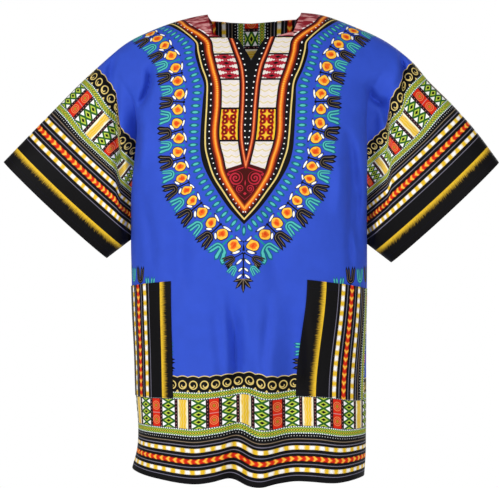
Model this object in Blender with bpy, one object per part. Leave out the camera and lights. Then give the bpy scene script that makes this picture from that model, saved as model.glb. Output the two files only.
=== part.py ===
# A dashiki shirt, filled out as if worn, with nothing inside it.
# Metres. X runs across the shirt, the front faces -Y, and Z = 0 is the top of the shoulders at the neck.
# Front and back are kimono cut: the body and both sleeves are one width of cloth, with no armhole seam.

import bpy
import numpy as np

# Driving sizes of the cut
CLOTH = 0.0020            # wall of the body and sleeves
TRIM = 0.0015             # wall of the pockets and the neck facing
SEAM = 0.0003             # gap between two pieces at a seam
BODY_HALF = 0.290         # flat half width of the body, from the centre line to the side seam
UNDERARM = 0.390          # shoulder line to the underarm point, down the cloth
LENGTH = 0.848            # shoulder line to the hem, down the cloth
NECK_BLEND = 0.160        # how far down the neckline's shape bends the rows of cloth
FACING_DROP = 0.130       # depth of the facing under the back neckline

# Depth of the filled shirt, from the plane of the side seams
FRONT_DEPTH = 0.130
BACK_DEPTH = 0.122
SHOULDER_RISE = 0.200     # distance down the cloth over which the chest and back reach their full depth
FRONT_ROUND = 2.0         # exponents of the two shoulder roundings, the back one being fuller
BACK_ROUND = 2.8
BODY_ROUND = 2.4          # exponent of the body's oval plan
SLEEVE_ROUND = 2.3        # exponent of the flattened sleeve's section
SLEEVE_ROOT = 0.070       # half depth of the sleeve near the body
SLEEVE_CUFF = 0.045       # and at its cuff
ARMPIT_FOLD = 0.032       # how far the fold between body and sleeve goes in
LEAST_DEPTH = 0.012       # half depth that the tightest folds leave open
CUFF_BOW = 0.003          # how far the cuff's line curves out

# Pockets: distance down the cloth, and how far the wearer's left one leans towards the centre
POCKET_TOP = 0.485
POCKET_BOTTOM = 0.695
POCKET_LEAN = 0.020
POCKET_EDGES = {"left": (0.138, 0.284), "right": (0.112, 0.264)}   # from the centre line
NECK_LEFT = 0.080         # centre line to where the neckline meets the shoulder
NECK_RIGHT = 0.092

# Cells of the cloth
UPPER_ROWS = 13
SLEEVE_CELLS = 9
LOWER_CELLS = (3, 6, 5)   # underarm to pocket top, pocket, and pocket to hem

# Shoulder and sleeve top edge, seen from the front: distance out, height
CREST = {
    "left": [
        (0.000, 0.000), (0.082, -0.002), (0.124, -0.011), (0.179, -0.030), (0.226, -0.053),
        (0.273, -0.092), (0.305, -0.121), (0.358, -0.174), (0.405, -0.222), (0.4536, -0.2723),
    ],
    "right": [
        (0.000, 0.000), (0.084, 0.002), (0.125, -0.002), (0.187, -0.023), (0.2545, -0.055),
        (0.3014, -0.093), (0.325, -0.121), (0.366, -0.162), (0.416, -0.218), (0.4569, -0.2729),
    ],
}

# Lower corner of each cuff: distance out, height
CUFF_CORNER = {"left": (0.264, -0.449), "right": (0.2585, -0.457)}

# Side of the body, under the sleeve and then down the side seam: distance down the cloth, distance out, height
SIDE = {
    "left": [
        (0.050, 0.2360, -0.127), (0.085, 0.2140, -0.161), (0.120, 0.2080, -0.194), (0.200, 0.2105, -0.262),
        (0.290, 0.2180, -0.338), (0.390, 0.2195, -0.415), (0.450, 0.2185, -0.467), (0.520, 0.2170, -0.533),
        (0.620, 0.2125, -0.627), (0.700, 0.2100, -0.704), (0.760, 0.2060, -0.759), (0.805, 0.2080, -0.797),
        (0.848, 0.2170, -0.832),
    ],
    "right": [
        (0.050, 0.2400, -0.112), (0.085, 0.2160, -0.148), (0.120, 0.2115, -0.183), (0.200, 0.2120, -0.256),
        (0.290, 0.2130, -0.338), (0.390, 0.2140, -0.423), (0.450, 0.2140, -0.473), (0.520, 0.2135, -0.538),
        (0.620, 0.2125, -0.632), (0.700, 0.2125, -0.709), (0.760, 0.2120, -0.767), (0.805, 0.2115, -0.806),
        (0.848, 0.2090, -0.845),
    ],
}

# Necklines. Each runs down from the shoulder at its two sides and then across, with a notch at the centre front.
# The sides: distance down the cloth, distance from the centre line. The edge: the same two, the other way round
NECK_SIDE = {
    ("front", "left"): [(0.000, 0.080), (0.022, 0.077), (0.047, 0.066), (0.160, 0.080)],
    ("front", "right"): [(0.000, 0.092), (0.020, 0.086), (0.045, 0.072), (0.160, 0.092)],
    ("back", "left"): [(0.000, 0.080), (0.006, 0.074), (0.160, 0.080)],
    ("back", "right"): [(0.000, 0.092), (0.006, 0.084), (0.160, 0.092)],
}
NECK_EDGE = {
    ("front", "left"): [(0.000, 0.096), (0.026, 0.057), (0.050, 0.055), (0.066, 0.047)],
    ("front", "right"): [(0.000, 0.096), (0.026, 0.056), (0.052, 0.052), (0.072, 0.044)],
    ("back", "left"): [(0.000, 0.010), (0.040, 0.009), (0.074, 0.006)],
    ("back", "right"): [(0.000, 0.010), (0.040, 0.009), (0.084, 0.006)],
}
NECK_ROWS = {"front": 3, "back": 1}    # rows of cells that the neck opening cuts away

# Columns of cells in each half: distance from the centre line, cells from the last one to it
COLUMNS = {
    "left": [(0.026, 2), (NECK_LEFT, 2), (0.138, 3), (0.284, 8), (BODY_HALF, 1)],
    "right": [(0.026, 2), (NECK_RIGHT, 2), (0.112, 1), (0.264, 9), (BODY_HALF, 2)],
}

# The centre line of the cloth wanders: distance down the cloth, place across
CENTRE_LINE = [(0.000, 0.002), (0.100, 0.001), (0.250, -0.007), (0.390, -0.0115), (0.848, -0.010)]

# The bottom edge waves: place across, height above (+) or below (-) the level hem
HEM_WAVE = [
    (-0.220, 0.000), (-0.160, -0.001), (-0.108, -0.002), (-0.060, 0.004), (-0.030, 0.009),
    (0.006, -0.003), (0.024, -0.004), (0.058, 0.001), (0.110, 0.003), (0.163, -0.003), (0.210, 0.000),
]
HEM_WAVE_REACH = 0.16

# Largest folds, as troughs (+) and ridges (-) along straight lines seen from the front:
# start across and height, end across and height, half width, depth
FOLDS = {
    "front": [
        (0.240, -0.120, 0.246, -0.225, 0.020, 0.008),
        (-0.020, -0.520, -0.024, -0.850, 0.020, 0.009),
        (-0.090, -0.640, -0.095, -0.850, 0.026, -0.006),
        (0.022, -0.560, 0.020, -0.850, 0.020, -0.006),
        (0.070, -0.600, 0.074, -0.850, 0.022, 0.006),
        (0.176, -0.230, 0.205, -0.420, 0.016, 0.005),
    ],
    "back": [
        (-0.075, -0.300, -0.085, -0.850, 0.024, 0.008),
        (0.000, -0.480, 0.004, -0.850, 0.026, -0.006),
        (0.085, -0.340, 0.090, -0.850, 0.024, 0.008),
        (-0.150, -0.560, -0.155, -0.850, 0.022, -0.006),
    ],
}

# Colour and roughness of each piece
FINISH = {
    "front": ((0.045, 0.110, 0.640), 0.72),
    "back": ((0.045, 0.110, 0.640), 0.72),
    "neck_facing": ((0.080, 0.070, 0.075), 0.75),
    "pocket_left": ((0.420, 0.060, 0.040), 0.75),
    "pocket_right": ((0.420, 0.060, 0.040), 0.75),
}

for old in list(bpy.data.objects):
    bpy.data.objects.remove(old, do_unlink=True)


def smooth_step(low, high, value):
    """0 below low, 1 above high, and an S between them."""
    share = np.clip((value - low) / (high - low), 0.0, 1.0)
    return share * share * (3.0 - 2.0 * share)


def curve(table, at):
    """Smooth curve through a table whose first column is the place along it."""
    rows = np.array(table, float)
    knots, values = rows[:, 0], rows[:, 1:]
    slopes = np.gradient(values, knots, axis=0)
    at = np.clip(np.asarray(at, float), knots[0], knots[-1])
    low = np.clip(np.searchsorted(knots, at) - 1, 0, len(knots) - 2)
    width = (knots[low + 1] - knots[low])[..., None]
    u = ((at - knots[low])[..., None]) / width
    start, end = values[low], values[low + 1]
    leave, arrive = slopes[low] * width, slopes[low + 1] * width
    return (
        (1.0 + 2.0 * u) * (1.0 - u) ** 2 * start + u * (1.0 - u) ** 2 * leave
        + u * u * (3.0 - 2.0 * u) * end + u * u * (u - 1.0) * arrive
    )


def crest(side, along):
    """Point of the shoulder and sleeve top edge, at a distance along it from the centre."""
    rows = np.array(CREST[side])
    steps = np.hypot(*np.diff(rows, axis=0).T)
    return curve(np.column_stack([np.r_[0.0, np.cumsum(steps)], rows]), along)


def crest_length(side):
    """Distance along the crest from the centre to the cuff."""
    return np.hypot(*np.diff(np.array(CREST[side]), axis=0).T).sum()


def side_line(side, down):
    """Distance out and height of the body's side, from the shoulder to the hem."""
    start = crest(side, BODY_HALF)
    return curve([(0.0, *start), *SIDE[side]], down)


def oval(share, power):
    """Half section of a flattened tube: 0 at both ends, 1 in the middle."""
    return np.clip(1.0 - np.abs(2.0 * share - 1.0) ** power, 0.0, 1.0) ** (1.0 / power)


def sleeve_depth(out, down):
    """Half depth of the sleeve: out is 0 at the body and 1 at the cuff, down is 0 at the top and 1 below."""
    full = SLEEVE_ROOT + (SLEEVE_CUFF - SLEEVE_ROOT) * out
    near = np.exp(-((out / 0.11) ** 2))
    fold = ARMPIT_FOLD * smooth_step(0.12, 0.40, down) * near
    round_end = oval(down, SLEEVE_ROUND)
    soft_end = np.where(down < 0.5, round_end, 1.0 - smooth_step(0.5, 1.0, down))
    return (full - fold) * (round_end + (soft_end - round_end) * near)


def fold_depth(face, x, z):
    """How far the folds push the cloth in. A fold fades at both ends, unless it runs out at the hem."""
    total = np.zeros_like(x)
    for x0, z0, x1, z1, width, depth in FOLDS[face]:
        run_x, run_z = x1 - x0, z1 - z0
        length = np.hypot(run_x, run_z)
        along = ((x - x0) * run_x + (z - z0) * run_z) / length ** 2
        off = ((x - x0) * run_z - (z - z0) * run_x) / length
        lower_end = 1.0 if z1 < -LENGTH else 1.0 - smooth_step(0.7, 1.1, along)
        total += depth * smooth_step(-0.1, 0.4, along) * lower_end * np.exp(-((off / width) ** 2))
    return total


def body_point(side, face, down, share):
    """Point of the body at a distance down the cloth and a share of the way from the centre line to its side."""
    depth, power = (FRONT_DEPTH, FRONT_ROUND) if face == "front" else (BACK_DEPTH, BACK_ROUND)
    rise = np.clip(down / SHOULDER_RISE, 0.0, 1.0)
    centre = depth * (1.0 - (1.0 - rise) ** power) ** (1.0 / power)
    edge = float(sleeve_depth(0.0, down / UNDERARM)) if down < UNDERARM else 0.0
    out, height = side_line(side, down)
    sign = -1.0 if side == "left" else 1.0
    middle = float(curve(CENTRE_LINE, down)[0])
    reach = out - sign * middle
    bend = 1.0 + (1.0 / BODY_ROUND - 1.0) * smooth_step(0.01, 0.13, down)
    angle = np.linspace(0.0, np.pi / 2, 90)
    across = np.sin(angle)
    forward = edge + (centre - edge) * (1.0 - across ** BODY_ROUND) ** bend
    shoulder = crest(side, np.linspace(0.0, BODY_HALF, 60))
    drop = np.interp(across * shoulder[-1, 0], shoulder[:, 0], shoulder[:, 1]) / shoulder[-1, 1]
    row = np.column_stack([middle + sign * reach * across, forward, -down + (height + down) * drop])
    steps = np.linalg.norm(np.diff(row, axis=0), axis=1)
    along = np.r_[0.0, np.cumsum(steps)] / steps.sum()
    return np.array([np.interp(share, along, row[:, k]) for k in range(3)])


def columns(side):
    """Distance of each column from the centre line."""
    marks = [0.0]
    for end, cells in COLUMNS[side]:
        marks.extend(np.linspace(marks[-1], end, cells + 1)[1:])
    return np.array(marks)


def place(side, face, column, row, rows):
    """Distance from the centre line and down the cloth of one crossing, bent round the neck and with the pocket."""
    mark = columns(side)[column]
    rim = float(rows[NECK_ROWS[face]])
    neck = NECK_RIGHT if side == "right" else NECK_LEFT
    down = row
    if mark <= neck and row < NECK_BLEND:
        ease = 1.0 if row <= rim else 1.0 - float(smooth_step(rim, NECK_BLEND, row))
        table = np.array(NECK_SIDE[face, side])
        mark *= float(np.interp(row, table[:, 0], table[:, 1])) / neck
        if row >= rim:
            table = np.array(NECK_EDGE[face, side])
            down = row + (float(np.interp(mark, table[:, 0], table[:, 1])) - rim) * ease
    if side == "right":
        weight = smooth_step(0.03, 0.11, mark) * (1.0 - smooth_step(0.265, BODY_HALF, mark))
        mark -= POCKET_LEAN * float(weight * smooth_step(POCKET_TOP, POCKET_BOTTOM, row))
    return mark, down


def column_at(side, station):
    """Number of the column nearest to a distance from the centre line."""
    return int(np.argmin(np.abs(columns(side) - station)))


def body_half(side, face, rows):
    """Points of half the body: rows by columns, from the centre line out, with none inside the neck opening."""
    grid = np.full((len(rows), len(columns(side)), 3), np.nan)
    neck = column_at(side, NECK_RIGHT if side == "right" else NECK_LEFT)
    for i, row in enumerate(rows):
        for j in range(grid.shape[1]):
            if i >= NECK_ROWS[face] or j >= neck:
                mark, down = place(side, face, j, row, rows)
                grid[i, j] = body_point(side, face, down, mark / BODY_HALF)
    return grid


def sleeve(side, face, rows):
    """Points of half a sleeve: rows by columns, from the body out to the cuff."""
    out = np.linspace(0.0, 1.0, SLEEVE_CELLS + 1) ** 1.25
    down = rows / UNDERARM
    root = side_line(side, rows)
    top = crest(side, BODY_HALF + out * (crest_length(side) - BODY_HALF))
    tip, corner = top[-1], np.array(CUFF_CORNER[side])
    cuff = tip + np.outer(down, corner - tip)
    cuff[:, 0] += CUFF_BOW * np.sin(np.pi * down)
    under = root[-1] + np.outer(out, corner - root[-1])
    o, d = out[None, :, None], down[:, None, None]
    flat = (
        (1 - o) * root[:, None] + o * cuff[:, None] + (1 - d) * top[None] + d * under[None]
        - (1 - d) * ((1 - o) * root[0] + o * tip) - d * ((1 - o) * root[-1] + o * corner)
    )
    sign = -1.0 if side == "left" else 1.0
    depth = sleeve_depth(out[None], down[:, None])
    return np.stack([sign * flat[..., 0], depth, flat[..., 1]], axis=-1)


def panel(face):
    """Points, seam marks, rows and side columns of the front or the back, with both half sleeves."""
    upper = UNDERARM * (1.0 - np.cos(np.pi * np.arange(UPPER_ROWS + 1) / UPPER_ROWS)) / 2.0
    marks = (UNDERARM, POCKET_TOP, POCKET_BOTTOM, LENGTH)
    lower = [np.linspace(a, b, n + 1)[1:] for a, b, n in zip(marks, marks[1:], LOWER_CELLS)]
    rows = np.concatenate([upper, *lower])
    left, right = (body_half(side, face, rows) for side in ("left", "right"))
    body = np.concatenate([left[:, ::-1], right[:, 1:]], axis=1)
    arms = [sleeve(side, face, upper) for side in ("left", "right")]
    count = UPPER_ROWS + 1
    wide = np.concatenate([arms[0][:, :0:-1], body[:count], arms[1][:, 1:]], axis=1)
    total = wide.shape[1]
    seam = np.zeros((len(rows), total), bool)
    first, last = SLEEVE_CELLS, SLEEVE_CELLS + body.shape[1] - 1
    centre = first + left.shape[1] - 1
    seam[0, :centre - column_at("left", NECK_LEFT) + 1] = True
    seam[0, centre + column_at("right", NECK_RIGHT):] = True
    seam[UPPER_ROWS, :first + 1] = seam[UPPER_ROWS, last:] = True
    seam[UPPER_ROWS:, [first, last]] = True
    points = np.full((len(rows), total, 3), np.nan)
    points[:count] = wide
    points[count:, first:last + 1] = body[count:]
    points[..., 2] += hem_wave(points)
    sign = -1.0 if face == "front" else 1.0
    push = fold_depth(face, points[..., 0], points[..., 2])
    points[..., 1] = np.where(seam, 0.0, np.maximum(points[..., 1] - push, LEAST_DEPTH))
    points[..., 1] = sign * (points[..., 1] + SEAM / 2.0)
    return points, seam, rows, (first, last)


def hem_wave(points):
    """Rise of the lowest rows with the hem's waves."""
    table = np.array(HEM_WAVE)
    wave = np.interp(points[..., 0], table[:, 0], table[:, 1])
    return wave * smooth_step(LENGTH - HEM_WAVE_REACH, LENGTH, -points[..., 2])


def cells_of(points, face):
    """Numbers the points that exist, and lists two triangles for each cell, facing out of the shirt."""
    there = ~np.isnan(points[..., 0])
    number = np.full(there.shape, -1)
    number[there] = np.arange(there.sum())
    a, b, c, d = number[:-1, :-1], number[1:, :-1], number[1:, 1:], number[:-1, 1:]
    whole = (a >= 0) & (b >= 0) & (c >= 0) & (d >= 0)
    order = [(a, b, c), (a, c, d)] if face == "front" else [(c, b, a), (d, c, a)]
    return there, np.concatenate([np.stack([corner[whole] for corner in three], axis=-1) for three in order])


def normals_of(points, cells, seam):
    """Normal at each point, level with the seam plane along a seam."""
    a, b, c = (points[cells[:, k]] for k in range(3))
    face = np.cross(b - a, c - a)
    normals = np.zeros_like(points)
    for k in range(3):
        np.add.at(normals, cells[:, k], face)
    normals[seam, 1] = 0.0
    return normals / np.linalg.norm(normals, axis=1, keepdims=True)


def wall(name, outer, inner, cells):
    """Closed solid between an outer and an inner copy of the same points."""
    count = len(outer)
    edges = {(int(cell[k]), int(cell[(k + 1) % 3])) for cell in cells for k in range(3)}
    rim = sorted((a, b) for a, b in edges if (b, a) not in edges)
    faces = [*cells.tolist(), *(cells[:, ::-1] + count).tolist()]
    faces += [(b, a, a + count, b + count) for a, b in rim]
    mesh = bpy.data.meshes.new(name)
    mesh.from_pydata(np.concatenate([outer, inner]).tolist(), [], faces)
    mesh.validate()
    mesh.shade_smooth()
    mesh.set_sharp_from_angle(angle=np.radians(50))
    mesh.materials.append(cloth(name))
    piece = bpy.data.objects.new(name, mesh)
    bpy.context.scene.collection.objects.link(piece)
    return piece


def cloth(name):
    """The finish of one piece."""
    colour, roughness = FINISH[name]
    material = bpy.data.materials.new(name + "_cotton")
    material.use_nodes = True
    shader = material.node_tree.nodes["Principled BSDF"]
    shader.inputs["Base Color"].default_value = (*colour, 1.0)
    shader.inputs["Roughness"].default_value = roughness
    shader.inputs["Metallic"].default_value = 0.0
    return material


def body_panel(face):
    """Makes the front or the back, and returns its grid for what is sewn to it."""
    points, seam, rows, ends = panel(face)
    there, cells = cells_of(points, face)
    outer = points[there]
    normals = normals_of(outer, cells, seam[there])
    wall(face, outer, outer - normals * CLOTH, cells)
    grid = np.full_like(points, np.nan)
    grid[there] = normals
    return points, grid, rows, ends


def laid_on(name, points, normals, lift, face):
    """A piece that lies on a panel, made from the panel's own points moved out (+) or in (-)."""
    there, cells = cells_of(points, face)
    base, away = points[there], normals[there]
    levels = sorted((lift, lift + np.sign(lift) * TRIM))
    wall(name, base + away * levels[1], base + away * levels[0], cells)


front, front_normals, all_rows, (first_column, last_column) = body_panel("front")
back, back_normals, _, _ = body_panel("back")
centre_column = first_column + len(columns("left")) - 1

# The pockets take the front's cells between their own edges
top_row, bottom_row = (int(np.argmin(np.abs(all_rows - row))) for row in (POCKET_TOP, POCKET_BOTTOM))
inner_left, outer_left = (column_at("left", edge) for edge in POCKET_EDGES["left"])
inner_right, outer_right = (column_at("right", edge) for edge in POCKET_EDGES["right"])
pocket_spans = {
    "pocket_left": (centre_column - outer_left, centre_column - inner_left),
    "pocket_right": (centre_column + inner_right, centre_column + outer_right),
}
for pocket, (start, stop) in pocket_spans.items():
    block = np.s_[top_row:bottom_row + 1, start:stop + 1]
    laid_on(pocket, front[block], front_normals[block], SEAM, "front")

# The facing hangs inside the back neck
facing_rows = int(np.argmin(np.abs(all_rows - FACING_DROP)))
neck_left, neck_right = column_at("left", NECK_LEFT), column_at("right", NECK_RIGHT)
block = np.s_[NECK_ROWS["back"]:facing_rows + 1, centre_column - neck_left:centre_column + neck_right + 1]
laid_on("neck_facing", back[block], back_normals[block], -CLOTH - SEAM, "back")
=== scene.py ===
from functools import reduce
import bpy
import numpy as np
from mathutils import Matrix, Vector


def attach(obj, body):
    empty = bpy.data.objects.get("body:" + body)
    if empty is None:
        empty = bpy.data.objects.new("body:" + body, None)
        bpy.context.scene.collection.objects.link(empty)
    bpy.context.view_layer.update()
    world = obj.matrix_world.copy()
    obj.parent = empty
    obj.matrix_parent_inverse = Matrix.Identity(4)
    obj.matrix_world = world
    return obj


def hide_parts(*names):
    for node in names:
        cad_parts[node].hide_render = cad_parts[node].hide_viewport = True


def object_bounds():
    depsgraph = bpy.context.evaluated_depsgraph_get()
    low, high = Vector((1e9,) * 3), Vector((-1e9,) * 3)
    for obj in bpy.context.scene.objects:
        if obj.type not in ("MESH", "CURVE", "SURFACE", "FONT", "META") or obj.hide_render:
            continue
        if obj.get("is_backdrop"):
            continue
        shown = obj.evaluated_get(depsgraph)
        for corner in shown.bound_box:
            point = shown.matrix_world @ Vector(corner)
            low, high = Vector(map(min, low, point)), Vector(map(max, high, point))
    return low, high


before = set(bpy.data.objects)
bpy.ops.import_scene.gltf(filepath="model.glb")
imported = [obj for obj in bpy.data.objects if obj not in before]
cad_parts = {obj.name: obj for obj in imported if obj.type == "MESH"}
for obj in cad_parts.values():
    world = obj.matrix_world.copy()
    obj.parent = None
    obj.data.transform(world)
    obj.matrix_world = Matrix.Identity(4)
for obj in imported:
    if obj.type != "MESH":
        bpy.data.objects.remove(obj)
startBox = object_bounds()

# The cut of the shirt, in metres: x runs across, the front faces -y, and z = 0 is the top of the shoulders
cut = {
    "bodyHalf": 0.290,        # centre line to the side seam
    "underarm": 0.390,        # shoulder line to the underarm point
    "length": 0.848,          # shoulder line to the hem
    "neckBlend": 0.160,       # how far down the neckline bends the rows
    "facingDrop": 0.135,      # depth of the facing under the back neckline
    "neck": {"left": 0.080, "right": 0.092},
    "rim": {"front": 0.0491, "back": 0.00567},   # where the sides of the neckline end
    "pocketTop": 0.485,
    "pocketBottom": 0.695,
    "pocketLean": 0.020,
    "pocketEdges": {"left": (0.138, 0.284), "right": (0.112, 0.264)},
}

# How the shirt is filled out
form = {
    "depth": {"front": 0.130, "back": 0.122},
    "shoulderRound": {"front": 2.0, "back": 2.8},
    "shoulderRise": 0.200,
    "bodyRound": 2.4,
    "sleeveRound": 2.3,
    "sleeveRoot": 0.070,
    "sleeveCuff": 0.045,
    "armpitFold": 0.032,
    "cuffBow": 0.003,
}

# The cloth itself
cloth = {
    "thick": 0.0009,          # printed cotton
    "trimLift": 0.0004,       # air under a pocket
    "cell": 0.0043,           # size of the mesh's cells
    "seamGap": 0.00015,       # from the middle plane to the front or back along a seam
    "sleeveColumns": 46,
}

sideSign = {"left": -1.0, "right": 1.0}
faceSign = {"front": -1.0, "back": 1.0}


# Turns the rows of a table that is written in millimetres into metres
def metres(rows):
    return np.array(rows) / 1000


# Shoulder and sleeve top edge, seen from the front: distance out, height
crestLine = {
    "left": metres([
        (0, 0), (82, -2), (124, -11), (179, -30), (226, -53),
        (273, -92), (305, -121), (358, -174), (405, -222), (453.6, -272.3),
    ]),
    "right": metres([
        (0, 0), (84, 2), (125, -2), (187, -23), (254.5, -55),
        (301.4, -93), (325, -121), (366, -162), (416, -218), (456.9, -272.9),
    ]),
}

# Lower corner of each cuff: distance out, height
cuffCorner = {"left": metres((264, -449)), "right": metres((258.5, -457))}

# Side of the body: distance down the cloth, distance out, height
sideLine = {
    "left": metres([
        (50, 236, -127), (85, 214, -161), (120, 208, -194), (200, 210.5, -262),
        (290, 218, -338), (390, 219.5, -415), (450, 218.5, -467), (520, 217, -533),
        (620, 212.5, -627), (700, 210, -704), (760, 206, -759), (805, 208, -797),
        (848, 217, -832),
    ]),
    "right": metres([
        (50, 240, -112), (85, 216, -148), (120, 211.5, -183), (200, 212, -256),
        (290, 213, -338), (390, 214, -423), (450, 214, -473), (520, 213.5, -538),
        (620, 212.5, -632), (700, 212.5, -709), (760, 212, -767), (805, 211.5, -806),
        (848, 209, -845),
    ]),
}

# Sides of the neckline: distance down the cloth, distance out. Its edge: distance out, distance down
neckSide = {
    ("front", "left"): metres([(0, 80), (22, 80), (47, 77), (160, 80)]),
    ("front", "right"): metres([(0, 92), (20, 89), (45, 84), (160, 92)]),
    ("back", "left"): metres([(0, 80), (6, 74), (160, 80)]),
    ("back", "right"): metres([(0, 92), (6, 84), (160, 92)]),
}
neckEdge = {
    ("front", "left"): metres([(0, 96), (26, 58), (52, 54), (77, 47)]),
    ("front", "right"): metres([(0, 96), (26, 57), (54, 52), (84, 44)]),
    ("back", "left"): metres([(0, 10), (40, 9), (74, 6)]),
    ("back", "right"): metres([(0, 10), (40, 9), (84, 6)]),
}
centreLine = metres([(0, 2), (100, 1), (250, -7), (390, -11.5), (848, -10)])

# Rise of the hem: place across, height
hemWave = metres([
    (-220, 0), (-160, -1), (-108, -2), (-60, 4), (-30, 9),
    (6, -3), (24, -4), (58, 1), (110, 3), (163, -3), (210, 0),
])

# Folds, as troughs (+) and ridges (-): start across and height, end across and height, half width, depth
folds = {
    "front": metres([
        (240, -120, 246, -225, 20, 8), (-20, -520, -24, -860, 20, 9),
        (-90, -640, -95, -860, 26, -6), (22, -560, 20, -860, 20, -6),
        (70, -600, 74, -860, 22, 6), (176, -230, 205, -420, 16, 5),
        (-246, -70, -259, -160, 6, 6), (-258, -66, -272, -150, 9, -5),
        (-178, -98, -197, -178, 7, 9), (-202, -175, -213, -290, 7, 5),
        (-190, -180, -199, -300, 12, -4), (282, -78, 265, -142, 6, 6),
        (205, -139, 250, -172, 7, 8), (232, -165, 230, -240, 13, 9),
        (168, -215, 196, -345, 9, 5), (150, -250, 160, -380, 14, -4),
        (-34, -500, -30, -700, 9, 5), (-58, -500, -54, -720, 10, 3),
        (28, -510, 26, -700, 9, 4), (78, -480, 84, -740, 26, 6),
        (106, -500, 100, -690, 12, -3), (176, -290, 184, -480, 7, 5),
        (192, -300, 197, -440, 7, 4), (-192, -330, -176, -470, 10, 3),
        (-12, -510, -12, -690, 11, -4), (35, -300, 52, -520, 18, 4),
        (-130, -330, -118, -520, 20, 5), (-244, -120, -239, -300, 7, 10),
        (-256, -130, -252, -300, 8, -4), (-233, -250, -226, -420, 9, 10),
        (232, -230, 230, -400, 10, 10), (249, -150, 248, -240, 7, 9),
        (280, -70, 276, -165, 6, 10),
    ]),
    "back": metres([
        (-75, -300, -85, -860, 24, 8), (0, -480, 4, -860, 26, -6),
        (85, -340, 90, -860, 24, 8), (-150, -560, -155, -860, 22, -6),
        (-232, -160, -240, -250, 12, 7), (228, -150, 234, -240, 12, 7),
        (-170, -190, -192, -330, 9, 5), (160, -200, 186, -350, 9, 5),
        (-30, -260, -42, -500, 14, 4), (50, -240, 40, -470, 14, -4),
        (150, -520, 158, -860, 18, 5),
    ]),
}


def smoothStep(low, high, value):
    share = np.clip((value - low) / (high - low), 0.0, 1.0)
    return share * share * (3.0 - 2.0 * share)


# Smooth curve through a table whose first column is the place along it
def curve(table, at):
    rows = np.array(table, float)
    knots, values = rows[:, 0], rows[:, 1:]
    slopes = np.gradient(values, knots, axis=0)
    at = np.clip(np.asarray(at, float), knots[0], knots[-1])
    low = np.clip(np.searchsorted(knots, at) - 1, 0, len(knots) - 2)
    width = (knots[low + 1] - knots[low])[..., None]
    u = (at - knots[low])[..., None] / width
    leave, arrive = slopes[low] * width, slopes[low + 1] * width
    return (
        (1 + 2 * u) * (1 - u) ** 2 * values[low] + u * (1 - u) ** 2 * leave
        + u * u * (3 - 2 * u) * values[low + 1] + u * u * (u - 1) * arrive
    )


# Distance along a row of points, or one way over a grid of them
def lengthsOf(points, axis=0):
    steps = np.linalg.norm(np.diff(np.array(points, float), axis=axis), axis=-1)
    return np.insert(np.cumsum(steps, axis=axis), 0, 0.0, axis=axis)


# Left and right halves of a grid that share their middle column
def joined(left, right):
    return np.concatenate([left[:, ::-1], right[:, 1:]], axis=1)


# Point of the shoulder and sleeve top edge, at a distance along it
def crest(side, along):
    return curve(np.column_stack([lengthsOf(crestLine[side]), crestLine[side]]), along)


def sideAt(side, down):
    return curve([(0.0, *crest(side, cut["bodyHalf"])), *sideLine[side]], down)


def oval(share, power):
    return np.clip(1.0 - np.abs(2.0 * share - 1.0) ** power, 0.0, 1.0) ** (1.0 / power)


# Half depth of the sleeve: out is 0 at the body and 1 at the cuff, down is 0 at the top and 1 below
def sleeveDepth(out, down):
    full = form["sleeveRoot"] + (form["sleeveCuff"] - form["sleeveRoot"]) * out
    near = np.exp(-((out / 0.11) ** 2))
    fold = form["armpitFold"] * smoothStep(0.12, 0.40, down) * near
    roundEnd = oval(down, form["sleeveRound"])
    softEnd = np.where(down < 0.5, roundEnd, 1.0 - smoothStep(0.5, 1.0, down))
    return (full - fold) * (roundEnd + (softEnd - roundEnd) * near)


# Points across the body at one distance down the cloth, evenly spaced along the cloth
def bodyRow(side, face, down, shares):
    rise = np.clip(down / form["shoulderRise"], 0.0, 1.0)
    power = form["shoulderRound"][face]
    centre = form["depth"][face] * (1.0 - (1.0 - rise) ** power) ** (1.0 / power)
    edge = float(sleeveDepth(0.0, down / cut["underarm"])) if down < cut["underarm"] else 0.0
    out, height = sideAt(side, down)
    sign = sideSign[side]
    middle = float(curve(centreLine, down)[0])
    bend = 1.0 + (1.0 / form["bodyRound"] - 1.0) * smoothStep(0.01, 0.13, down)
    across = np.sin(np.linspace(0.0, np.pi / 2, 120))
    forward = edge + (centre - edge) * (1.0 - across ** form["bodyRound"]) ** bend
    shoulder = crest(side, np.linspace(0.0, cut["bodyHalf"], 60))
    drop = np.interp(across * shoulder[-1, 0], shoulder[:, 0], shoulder[:, 1]) / shoulder[-1, 1]
    row = np.column_stack(
        [middle + sign * (out - sign * middle) * across, forward, -down + (height + down) * drop]
    )
    along = lengthsOf(row)
    return np.column_stack([np.interp(shares * along[-1], along, row[:, k]) for k in range(3)])


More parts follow.
